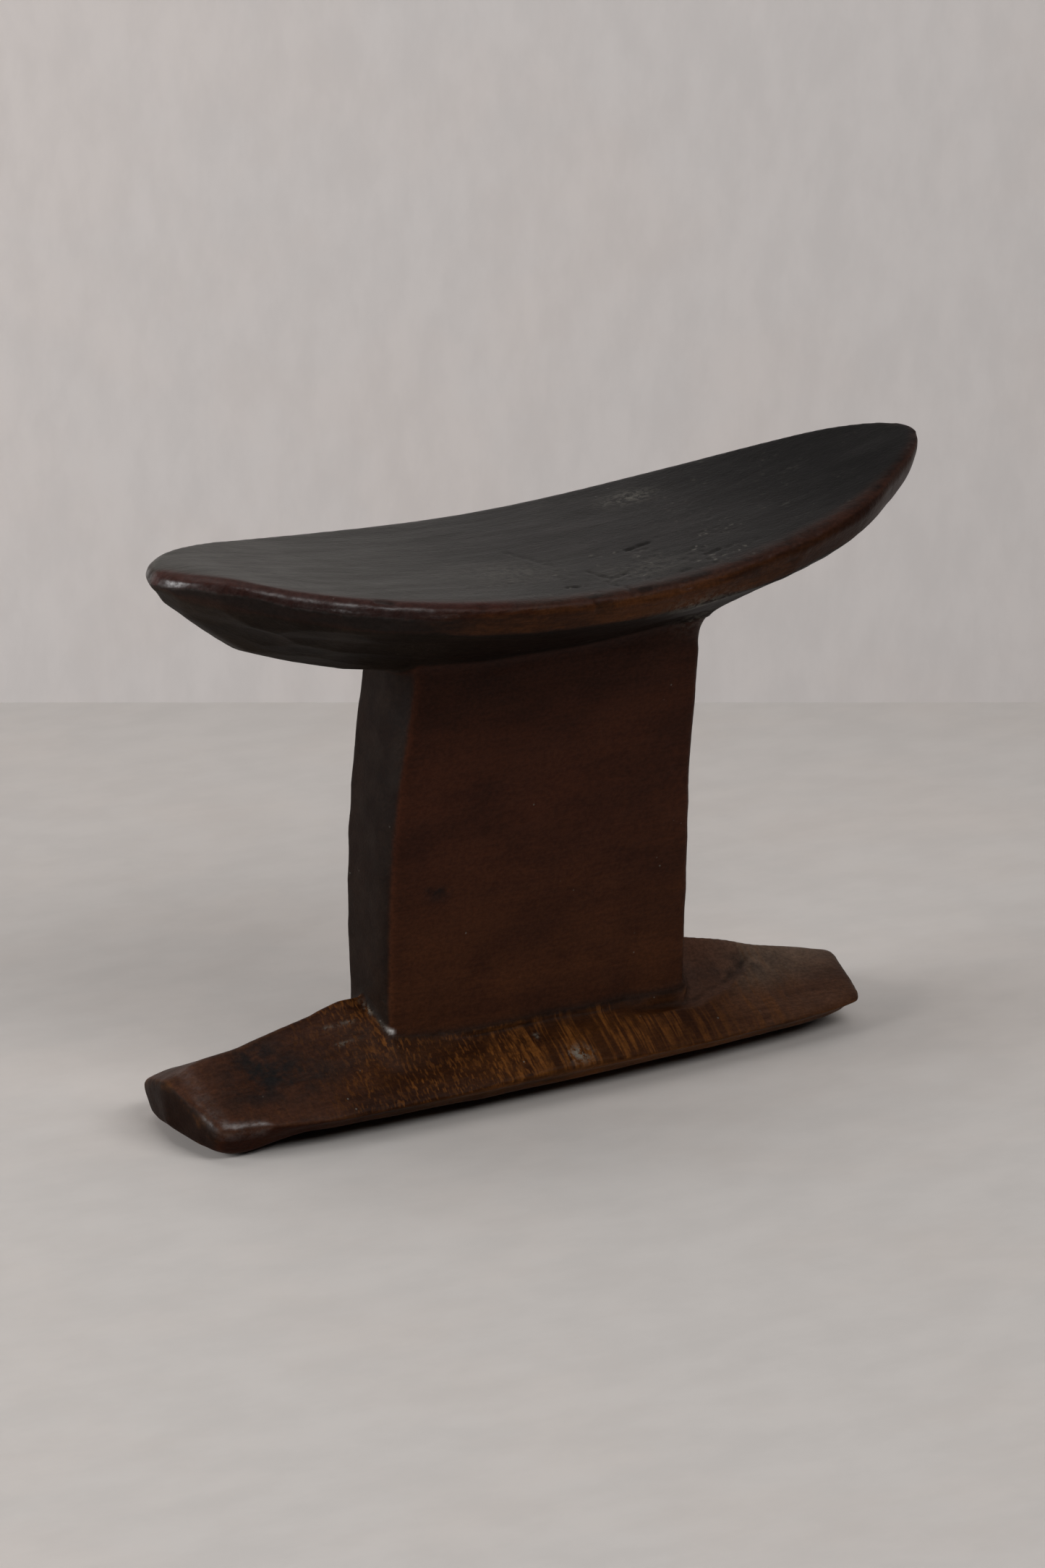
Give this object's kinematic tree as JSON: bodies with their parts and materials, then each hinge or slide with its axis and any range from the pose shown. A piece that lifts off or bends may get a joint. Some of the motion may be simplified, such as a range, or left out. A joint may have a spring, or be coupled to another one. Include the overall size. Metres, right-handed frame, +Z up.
{
  "type": "headrest",
  "caption": "Carved wooden neck rest: a long dished oval top on one flat column over a boat-shaped base.",
  "frame": {"origin": "on the ground, under the middle of the whole object's box", "axes": "+X along the neck rest towards the slightly higher tip, -Y towards the front, +Z up"},
  "size_m": [0.21, 0.074, 0.1462],
  "materials": {
    "dark_polished_wood": "satin",
    "red_brown_wood": "satin",
    "flecked_brown_wood": "satin"
  },
  "bodies": {
    "root": {"neck_rest": "dark_polished_wood", "column": "red_brown_wood", "base": "flecked_brown_wood"}
  },
  "joints": []
}
